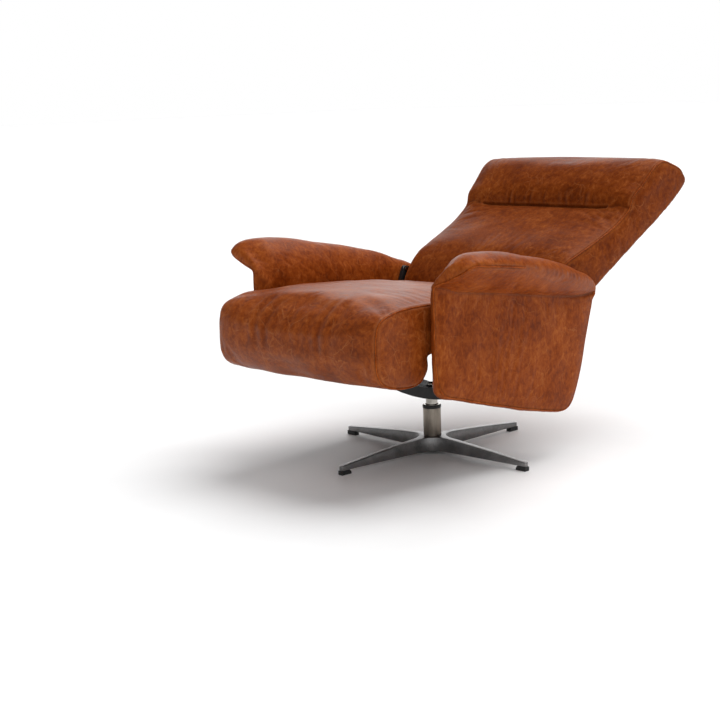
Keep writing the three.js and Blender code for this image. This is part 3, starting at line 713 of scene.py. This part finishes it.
# ---- Back ----
BACK_OUTLINE = np.array([  # y, z: up the rear face, over the top, down the front to the foot
    (0.262, 0.363), (0.771, 0.699), (0.781, 0.715), (0.776, 0.730), (0.751, 0.751),
    (0.711, 0.767), (0.664, 0.779), (0.625, 0.766), (0.597, 0.744), (0.564, 0.713),
    (0.526, 0.680), (0.515, 0.650), (0.478, 0.621), (0.432, 0.596), (0.369, 0.569),
    (0.316, 0.548), (0.255, 0.522), (0.222, 0.492), (0.200, 0.460), (0.190, 0.436),
    (0.192, 0.418), (0.204, 0.404), (0.240, 0.372), (0.250, 0.365)])
BACK_CORNERS = (0, 23)
BACK_WIDTHS = ((0.100, 0.150, 0.250, 0.391, 0.500, 0.620),  # heights up the back and its half widths
               (0.281, 0.288, 0.296, 0.307, 0.319, 0.324))
TUCK_DEPTH = 0.101  # of the crease, out from the rear face
TUCK_END = 0.303  # half length of the crease's line
UP_BACK = np.array([math.cos(BACK_ANGLE), math.sin(BACK_ANGLE)])  # y, z
OUT_OF_BACK = np.array([-math.sin(BACK_ANGLE), math.cos(BACK_ANGLE)])


def back_half(yz):
    return np.interp((yz - BACK_FOOT) @ UP_BACK, *BACK_WIDTHS)


def back_place(x, height, depth):
    """A point from its place across the back, up it and out from its rear face."""
    yz = BACK_REAR_POINT + height * UP_BACK + depth * OUT_OF_BACK
    return np.array([x, yz[0], yz[1]])


def tuck_rise(x):
    """The crease is straight under the headrest and lifts a little towards the sides."""
    x = np.abs(x)
    return 0.009 * ease(x, TUCK_HALF, 0.268) - 0.005 * ease(x, 0.275, 0.305)


def back_fields(co):
    """For each point: its height up the back, its height above the crease, and 1 on the front face."""
    local = co[:, 1:] - BACK_REAR_POINT
    up, out = local @ UP_BACK, local @ OUT_OF_BACK
    return up, up - TUCK_HEIGHT - tuck_rise(co[:, 0]), ease(out, 0.060, 0.085)


def make_back():
    outline = evenly(curve_through(BACK_OUTLINE, BACK_CORNERS), spacing=LOOP_STEP)
    height = (outline - BACK_FOOT) @ UP_BACK
    depth = (outline - BACK_REAR_POINT) @ OUT_OF_BACK
    lift = BACK_CROWN * ease(depth, 0.050, 0.090) * ease(height, 0.060, 0.160)
    loops = []
    for across in np.linspace(-1, 1, 101):
        yz = outline + (0.8 * lift * (1 - across ** 8))[:, None] * OUT_OF_BACK
        loops.append(np.column_stack([across * (back_half(outline) - 0.001), yz]))
    cushion = loft("back_cushion", loops)
    remesh(cushion)

    front = curve_through(BACK_OUTLINE[3:22], closed=False)
    rear = curve_through(BACK_OUTLINE[:3], closed=False)
    side_seams, rear_seams = [], []
    for s in (-1, 1):
        for line, seams in ((front, side_seams), (rear, rear_seams)):
            line = evenly(line, spacing=SEAM_STEP, closed=False)
            seams.append(np.column_stack([s * (back_half(line) - 0.001), line]))
    tuck = np.array([back_place(x, TUCK_HEIGHT + tuck_rise(x), TUCK_DEPTH)
                     for x in np.linspace(-TUCK_END, TUCK_END, 150)])

    co = points_of(cushion.data)
    far = np.min([closeness(co, s)[0] for s in side_seams + rear_seams], axis=0)
    up, from_tuck, on_front = back_fields(co)
    middle = 1 - ease(np.abs(co[:, 0]), 0.195, 0.245)
    dip = np.exp(-(from_tuck / 0.012) ** 2) * on_front
    co -= np.outer(dip * (0.0015 + 0.0075 * middle), [0, *OUT_OF_BACK])
    move_points(cushion.data, co)
    foot = ease(-up, -0.02, 0.03)
    at_tuck = dip ** 0.5 * on_front * (0.3 + 0.7 * middle)
    held = np.maximum.reduce([1 - ease(far, 0.004, 0.016), at_tuck, foot])
    across = np.clip(np.abs(co[:, 0]) / back_half(co[:, 1:]), 0, 1)
    side_face = ease(across, 0.975, 0.995)
    swell = 0.4 * BACK_CROWN * (1 - across ** 4) + 0.002 + 0.004 * ease(from_tuck, 0.0, 0.03) * on_front
    reach = (swell * on_front + 0.002 * (1 - on_front)) * (1 - side_face) + 0.003 * side_face
    reach = reach * (1 - foot) + 0.0005
    fill(cushion, np.clip(held, 0, 1), smoothed(reach, cushion.data, 8))
    subdivide(cushion)

    co = points_of(cushion.data)
    normal = normals_of(cushion.data)
    _, from_tuck, on_front = back_fields(co)
    middle = 1 - ease(np.abs(co[:, 0]), 0.205, 0.240)
    phase = co[:, 0] + 0.006 * ripple(co, 0.05, 11) + 0.10 * from_tuck * np.sign(co[:, 0])
    puckers = np.sin(2 * math.pi * phase / 0.026) * ease(ripple(co[:, :1], 0.035, 12), -0.5, 0.9)
    above = np.exp(-((from_tuck - 0.016) / 0.016) ** 2) * (from_tuck > -0.004)
    below = np.exp(-((from_tuck + 0.012) / 0.010) ** 2)
    shift = (0.0020 * above + 0.0006 * below) * puckers * on_front * middle
    shift += 0.0010 * ripple(co, 0.06, 14) * on_front * (1 - held_near(co, side_seams, 0.03))
    move_points(cushion.data, co + normal * shift[:, None])
    tuck_middle = tuck[np.abs(tuck[:, 0]) < TUCK_HALF - 0.012]
    press(cushion, snapped(cushion, tuck_middle), 0.0045, 0.0042, 0.0012)
    tuck_line = snapped(cushion, tuck)
    press(cushion, tuck_line, 0.0010, 0.0030, 0.0003)
    for seam in side_seams + rear_seams:
        press(cushion, seam, 0.0026, 0.0038, 0.0006)
    mark_wear_and_shade(cushion, [*side_seams, *rear_seams, tuck_line])
    cushion.data.materials.append(MATERIALS["leather_back"])
    dress(cushion, "backrest", "leather", "back_cover", "back_foam", "headrest_foam")
    sew(cushion, "back_side", side_seams, "backrest")
    sew(cushion, "back_rear", rear_seams, "backrest", welted=False, beside=0.005)


# ---- Arms ----
ARM_LISTS = {  # z over y: underside, crease under the wing, ridge; and x over y of the wing's rim
    "bottom": [(-0.362, 0.332), (-0.355, 0.286), (-0.340, 0.257), (-0.317, 0.241), (-0.284, 0.233),
               (-0.216, 0.215), (-0.117, 0.188), (0.0, 0.158), (0.122, 0.131), (0.156, 0.125),
               (0.184, 0.128), (0.207, 0.144), (0.225, 0.177), (0.249, 0.237), (0.273, 0.323),
               (0.305, 0.415), (0.313, 0.424)],
    "crease": [(-0.362, 0.528), (-0.322, 0.523), (-0.284, 0.511), (-0.190, 0.498), (-0.064, 0.480),
               (0.121, 0.453), (0.245, 0.438), (0.313, 0.441)],
    "ridge": [(-0.362, 0.583), (-0.349, 0.593), (-0.335, 0.601), (-0.317, 0.607), (-0.284, 0.610),
              (-0.216, 0.606), (-0.117, 0.592), (-0.039, 0.577), (0.040, 0.560), (0.122, 0.542),
              (0.184, 0.525), (0.225, 0.511), (0.249, 0.502), (0.273, 0.491), (0.291, 0.480),
              (0.303, 0.469), (0.313, 0.455)],
    "rim": [(-0.362, 0.440), (-0.335, 0.451), (-0.317, 0.455), (-0.284, 0.456), (-0.216, 0.453),
            (-0.117, 0.444), (-0.039, 0.433), (0.040, 0.418), (0.122, 0.399), (0.184, 0.384),
            (0.225, 0.373), (0.249, 0.365), (0.273, 0.357), (0.291, 0.350), (0.303, 0.346),
            (0.313, 0.343)],
}
ARM_LINES = {key: curve_through(value, closed=False) for key, value in ARM_LISTS.items()}
ARM_FRONT, ARM_REAR = -0.362, 0.313
ARM_FRONT_PLAN = ((0.296, 0.300, 0.309, 0.318, 0.326, 0.332, 0.340, 0.500),  # x, y: the rounded front
                  (-0.312, -0.320, -0.3305, -0.3385, -0.3440, -0.3470, -0.3500, -0.3600))
CREASE_CORNER, RIM_CORNER = 5, 8


def arm_value(key, y):
    line = ARM_LINES[key]
    return float(np.interp(y, line[:, 0], line[:, 1]))


def arm_corners(y):
    """Section across the arm as (x, z), from the inner bottom edge outwards and round."""
    bottom, crease = arm_value("bottom", y), arm_value("crease", y)
    rise, rim = arm_value("ridge", y) - crease, arm_value("rim", y)
    reach = rim - ARM_INNER
    front = 1 - float(ease(y, ARM_FRONT, -0.285))
    up = lambda share: bottom + share * (crease - bottom)
    corners = [(0.304, bottom), (0.328, bottom), (0.334, up(0.04)), (0.3365, up(0.4)),
               (ARM_OUTER, up(0.8)), (ARM_OUTER, crease)]
    leaf = 0.66 + 0.10 * front
    corners += [(ARM_OUTER + t * (rim - ARM_OUTER), crease + leaf * rise * t ** 1.25) for t in (0.3, 0.65)]
    corners += [(rim - a * reach, crease + (b - sink * front) * rise) for a, b, sink in (
        (0, leaf, 0), (0.02, 0.84, 0), (0.14, 0.95, 0), (0.36, 1.0, 0.04), (0.58, 0.93, 0.26),
        (0.77, 0.72, 0.50), (0.91, 0.42, 0.72))]
    corners += [(ARM_INNER + 0.001, crease + (0.08 - 0.75 * front) * rise),
                (ARM_INNER, crease - (0.3 + 0.9 * front) * rise),
                (ARM_INNER, up(0.4)), (ARM_INNER, up(0.03))]
    return corners


def arm_point(x, y, z):
    """Puts a section's point in place: the front stands back a little, and more so further out."""
    back = (ARM_FRONT_BACK + WING_SWEEP * (x - ARM_OUTER)) * (1 - ease(y, ARM_FRONT, -0.200))
    return (x, y + back, z)


def arm_loop(y, count=110):
    section = curve_through(arm_corners(y), (0, 1, CREASE_CORNER), fine=8)
    return np.array([arm_point(x, y, z) for x, z in evenly(section, count=count)])


def make_arm():
    stations = np.concatenate([np.linspace(ARM_FRONT, -0.30, 16), np.linspace(-0.292, 0.24, 64),
                               np.linspace(0.247, ARM_REAR, 14)])
    arm = loft("arm_pad_left", [arm_loop(y) for y in stations])
    remesh(arm, VOXEL, 0)
    co = points_of(arm.data)
    co[:, 1] = np.maximum(co[:, 1], np.interp(co[:, 0], *ARM_FRONT_PLAN))
    move_points(arm.data, co)
    remesh(arm, VOXEL, 6)

    def at_corner(index, y):
        x, z = arm_corners(y)[index]
        return arm_point(x, y, z)

    rim = [at_corner(RIM_CORNER, y) for y in np.linspace(-0.110, -0.350, 34)]
    leaf = arm_corners(ARM_FRONT)[CREASE_CORNER:RIM_CORNER]
    front_wing = [arm_point(x, ARM_FRONT, z) for x, z in reversed(leaf)]
    front_edge = [(0.3368, -0.3475, z) for z in np.linspace(0.515, 0.345, 12)]
    below = evenly(ARM_LINES["bottom"], spacing=0.012, closed=False)
    ways = np.gradient(below, axis=0)
    ways /= np.linalg.norm(ways, axis=1)[:, None]
    below = [arm_point(0.3355, y - 0.004 * b, z + 0.004 * a) for (y, z), (a, b) in zip(below, ways)][1:]
    outer_edge = evenly(curve_through(rim + front_wing + front_edge + below, closed=False, fine=4),
                        spacing=SEAM_STEP, closed=False)
    crease = evenly(np.array([at_corner(CREASE_CORNER, y) for y in np.linspace(-0.350, 0.296, 80)]),
                    spacing=SEAM_STEP, closed=False)
    co = points_of(arm.data)
    far = np.min([closeness(co, s)[0] for s in (outer_edge, crease)], axis=0)
    held = 1 - ease(far, 0.003, 0.012)
    inner = (co[:, 0] < 0.304) & (co[:, 2] < 0.50)
    held[inner] = 1
    wing = ease(co[:, 0], 0.318, 0.350)
    reach = np.where(inner, 0.0005, 0.0020 + 0.003 * wing)
    fill(arm, held, smoothed(reach, arm.data, 6), fold=0.0007)
    subdivide(arm)

    co = points_of(arm.data)
    normal = normals_of(arm.data)
    far, along = closeness(co, outer_edge)
    wing_length = np.linalg.norm(np.diff(np.array(rim + front_wing), axis=0), axis=1).sum()
    near_front = ease(along, wing_length - 0.26, wing_length - 0.16)
    near_front *= 1 - ease(along, wing_length + 0.02, wing_length + 0.10)
    top_side = ease(normal[:, 2] * 0.6 - normal[:, 1] * 0.8, 0.0, 0.4)
    pleats = np.sin(2 * math.pi * (along + 0.002 * ripple(co, 0.03, 21)) / 0.0105)
    pleats *= 0.4 + 0.6 * ease(ripple(np.column_stack([along]), 0.03, 22), -0.5, 0.8)
    shift = 0.0009 * pleats * np.exp(-((far - 0.010) / 0.010) ** 2) * near_front * top_side
    shift += 0.0007 * ripple(co, 0.05, 23) * (1 - inner_share(co[:, 0]))
    move_points(arm.data, co + normal * shift[:, None])
    press(arm, outer_edge, 0.0026, 0.0036, 0.0006, 0.090)
    press(arm, crease, 0.0040, 0.0050, 0.0006)
    mark_wear_and_shade(arm, [outer_edge, crease])
    arm.data.materials.append(MATERIALS["leather"])
    return arm, outer_edge, crease


def inner_share(x):
    """1 on the arm's inner face, which stays flat, and 0 further out."""
    return 1 - ease(x, 0.301, 0.312)


def mirrored(obj, name):
    """A copy on the other side of the chair."""
    twin = linked(name, obj.data.copy())
    twin.data.transform(Matrix.Scale(-1, 4, Vector((1, 0, 0))))
    twin.data.flip_normals()
    return twin


def make_arms():
    left, outer_edge, crease = make_arm()
    right = mirrored(left, "arm_pad_right")
    for pad, word, side in ((left, "left", 1), (right, "right", -1)):
        dress(pad, "swivel_frame", "leather", "arm_cover_" + word, "arm_foam_" + word, "arm_board_" + word)
        flip = np.array([side, 1, 1])
        sew(pad, "arm_edge_" + word, [outer_edge * flip], "swivel_frame", beside=0.0030 * side)
        sew(pad, "arm_crease_" + word, [crease * flip], "swivel_frame", welted=False, beside=0.004 * side)


# ---- Metalwork ----
def turned(name, profile, segments=72, sharp=math.radians(40)):
    """A round piece about the swivel axis from its closed half section (radius, z)."""
    verts, faces = [], []
    count = len(profile)
    for k in range(segments):
        turn = 2 * math.pi * k / segments
        verts += [(r * math.cos(turn), r * math.sin(turn), z) for r, z in profile]
    for k in range(segments):
        for i in range(count):
            a, b = k * count + i, k * count + (i + 1) % count
            c, d = (a + count) % len(verts), (b + count) % len(verts)
            faces.append((a, c, d, b))
    obj = new_object(name, verts, faces)
    shade_smooth(obj, sharp)
    return obj


def round_corners(profile, radius, steps=4):
    """Each corner of a closed outline replaced by a small arc-like curve."""
    p = np.array(profile, float)
    out = []
    for i in range(len(p)):
        a, b, c = p[i - 1], p[i], p[(i + 1) % len(p)]
        r = min(radius, 0.45 * np.linalg.norm(a - b), 0.45 * np.linalg.norm(c - b))
        start = b + (a - b) / np.linalg.norm(a - b) * r
        end = b + (c - b) / np.linalg.norm(c - b) * r
        for t in np.linspace(0, 1, steps):
            out.append((1 - t) ** 2 * start + 2 * t * (1 - t) * b + t * t * end)
    return [tuple(q) for q in out]


STAR_TOP = ((0.0, 0.040, 0.075, 0.140, 0.220, 0.300, 0.360),  # radii and heights
            (0.048, 0.048, 0.0466, 0.0424, 0.036, 0.0286, 0.0225))
STAR_UNDER = ((0.0, 0.033, 0.040, 0.300, 0.360), (0.003, 0.003, 0.008, 0.0119, 0.0119))


def make_star():
    """The cast four-armed foot: narrow tapering blades that flare into the hub, with soft edges."""
    reach, root, tip, fillet_end, crotch = 0.350, 0.010, 0.007, 0.062, 0.018
    t = np.linspace(0.5, 1, 8)[:, None]
    start, end = np.array([root, fillet_end]), np.array([fillet_end, root])
    fillet = (1 - t) ** 2 * start + 2 * t * (1 - t) * crotch + t * t * end
    straight = [(a, root + (tip - root) * (a - fillet_end) / (reach - 0.005 - fillet_end))
                for a in np.linspace(0.085, reach - 0.005, 18)]
    rows = [tuple(f) for f in fillet] + straight + [(reach - 0.0015, tip - 0.0015), (reach, tip - 0.005)]
    verts, faces = [], []
    top = lambda r: float(np.interp(r, *STAR_TOP))
    under = lambda r: float(np.interp(r, *STAR_UNDER))
    for arm in range(4):
        turn = arm * math.pi / 2
        c, s = math.cos(turn), math.sin(turn)
        first = len(verts)
        for along, half in rows:
            r = math.hypot(along, half)
            for across, z in ((half, top(r)), (-half, top(r)), (-half, under(r)), (half, under(r))):
                verts.append((c * along - s * across, s * along + c * across, z))
        for i in range(len(rows) - 1):
            a = first + 4 * i
            for j in range(4):
                k = (j + 1) % 4
                faces.append((a + j, a + k, a + 4 + k, a + 4 + j))
        last = first + 4 * (len(rows) - 1)
        faces.append((last, last + 1, last + 2, last + 3))
    size = 4 * len(rows)
    for level in (0, 3):
        ring = [arm * size + level for arm in range(4)]
        faces.append(tuple(ring) if level == 0 else tuple(reversed(ring)))
    obj = new_object("star_foot", verts, faces)
    obj.data.transform(Matrix.Rotation(BASE_TURN, 4, "Z"))
    merge_and_face_out(obj)
    bevel = obj.modifiers.new("Bevel", "BEVEL")
    bevel.width = 0.0016
    bevel.segments = 2
    bevel.angle_limit = math.radians(50)
    apply_modifiers(obj)
    shade_smooth(obj, math.radians(32))
    finish_piece(obj, "base", "cast_aluminium", "star_base")


def merge_and_face_out(obj):
    bm = bmesh.new()
    bm.from_mesh(obj.data)
    bmesh.ops.remove_doubles(bm, verts=bm.verts, dist=1e-5)
    bmesh.ops.recalc_face_normals(bm, faces=bm.faces)
    bm.to_mesh(obj.data)
    bm.free()


def make_metalwork():
    make_star()
    tube = round_corners([(0.0225, 0.0483), (0.025, 0.0483), (0.025, 0.127), (0.0225, 0.127)], 0.0006)
    finish_piece(turned("column_tube_fine", tube), "base", "brushed_steel", "column_tube")
    collar = round_corners([(0.019, 0.1273), (0.026, 0.1273), (0.026, 0.1345), (0.0238, 0.137),
                            (0.019, 0.137)], 0.0007)
    finish_piece(turned("column_collar_fine", collar), "base", "black_plastic", "column_collar")
    rim = round_corners([(0.0185, 0.1360), (0.0242, 0.1360), (0.0242, 0.1373), (0.0185, 0.1373)], 0.0005)
    finish_piece(turned("collar_rim", rim), "base", "polished_steel")


NODE_SLOTS = {
    "foam": ("arm_foam", "seat_foam", "back_foam", "headrest_foam"),
    "leather": ("arm_cover", "seat_cover", "back_cover"),
    "plywood": ("arm_board", "seat_board", "back_board"),
    "cast_aluminium": ("star_base",),
    "brushed_steel": ("column_tube", "seat_runner"),
    "polished_steel": ("base_bolt", "base_washer", "thrust_bearing", "spindle", "spindle_bolt",
                       "back_pivot_pin", "seat_pivot_pin", "frame_screw"),
    "black_plastic": ("glide", "base_cap", "column_collar"),
    "nylon": ("bush_lower", "bush_upper", "pivot_washer"),
    "dust_cloth": ("seat_dust_cloth",),
}  # every other node is black steel


def dress_cad_nodes():
    """Gives every CAD node the finish of its slot."""
    slot_of = {stem: slot_name for slot_name, stems in NODE_SLOTS.items() for stem in stems}
    for name, node in NODES.items():
        stem = name
        while stem not in slot_of and stem.rpartition("_")[2] in ("left", "right", "front", "rear"):
            stem = stem.rpartition("_")[0]
        node.data.materials.clear()
        node.data.materials.append(MATERIALS[slot_of.get(stem, "black_steel")])


# ---- Studio ----
CAMERA_PLACE = Vector((2.775, -3.003, 0.998))
CAMERA_HEADING = math.radians(45.5)
CAMERA_PITCH = math.radians(10.13)
CAMERA_ROLL = math.radians(1.98)
LENS, SENSOR = 74.4, 36  # millimetres
FLOOR = 60  # half width


def make_camera():
    ahead = Vector((-math.sin(CAMERA_HEADING) * math.cos(CAMERA_PITCH),
                    math.cos(CAMERA_HEADING) * math.cos(CAMERA_PITCH), -math.sin(CAMERA_PITCH)))
    level = Vector((math.cos(CAMERA_HEADING), math.sin(CAMERA_HEADING), 0))
    upright = level.cross(ahead)
    right = math.cos(CAMERA_ROLL) * level - math.sin(CAMERA_ROLL) * upright
    up = math.sin(CAMERA_ROLL) * level + math.cos(CAMERA_ROLL) * upright
    data = bpy.data.cameras.new("camera")
    data.lens = LENS
    data.sensor_width = SENSOR
    camera = linked("camera", data)
    turn = Matrix((right, up, -ahead)).transposed()
    camera.matrix_world = Matrix.Translation(CAMERA_PLACE) @ turn.to_4x4()
    bpy.context.scene.camera = camera


def sun(name, strength, spread, azimuth, elevation):
    """A far soft light; azimuth is where it stands, anticlockwise from +X, in degrees."""
    data = bpy.data.lights.new(name, "SUN")
    data.energy = strength
    data.angle = math.radians(spread)
    light = linked(name, data)
    a, e = math.radians(azimuth), math.radians(elevation)
    towards = Vector((math.cos(a) * math.cos(e), math.sin(a) * math.cos(e), math.sin(e)))
    light.rotation_euler = towards.to_track_quat("Z", "Y").to_euler()


def make_studio():
    scene = bpy.context.scene
    scene.view_settings.view_transform = "Standard"
    world = bpy.data.worlds.new("studio")
    scene.world = world
    world.use_nodes = True
    tree = world.node_tree
    backdrop = tree.nodes["Background"]
    backdrop.inputs["Color"].default_value = (1, 1, 1, 1)
    backdrop.inputs["Strength"].default_value = 1.0
    fill_light = tree.nodes.new("ShaderNodeBackground")
    fill_light.inputs["Color"].default_value = (0.97, 0.985, 1, 1)
    fill_light.inputs["Strength"].default_value = 0.22
    ray = tree.nodes.new("ShaderNodeLightPath")
    choose = tree.nodes.new("ShaderNodeMixShader")
    tree.links.new(ray.outputs["Is Camera Ray"], choose.inputs["Fac"])
    tree.links.new(fill_light.outputs["Background"], choose.inputs[1])
    tree.links.new(backdrop.outputs["Background"], choose.inputs[2])
    tree.links.new(choose.outputs["Shader"], tree.nodes["World Output"].inputs["Surface"])
    sun("rear", 2.65, 48, 80, 64)
    sun("front", 1.05, 80, -40, 35)
    sun("low_rear", 0.45, 36, 132, 17)

    corners = [(x * FLOOR, y * FLOOR, 0) for x, y in ((-1, -1), (1, -1), (1, 1), (-1, 1))]
    floor = new_object("floor", corners, [(0, 1, 2, 3)])
    s = Shader("studio_floor", Specular_IOR_Level=0.2)
    paint = s.noise(3.0, 4.0)
    colour = s.ramp(paint, [(0.3, (0.90, 0.90, 0.90)), (0.7, (0.93, 0.93, 0.93))])
    s.set(s.main.inputs["Base Color"], colour)
    s.set(s.main.inputs["Roughness"], s.spread(paint, 0.3, 0.7, 0.55, 0.65))
    floor.data.materials.append(s.material)


make_camera()
make_studio()
dress_cad_nodes()
make_metalwork()
make_seat()
make_back()
make_arms()
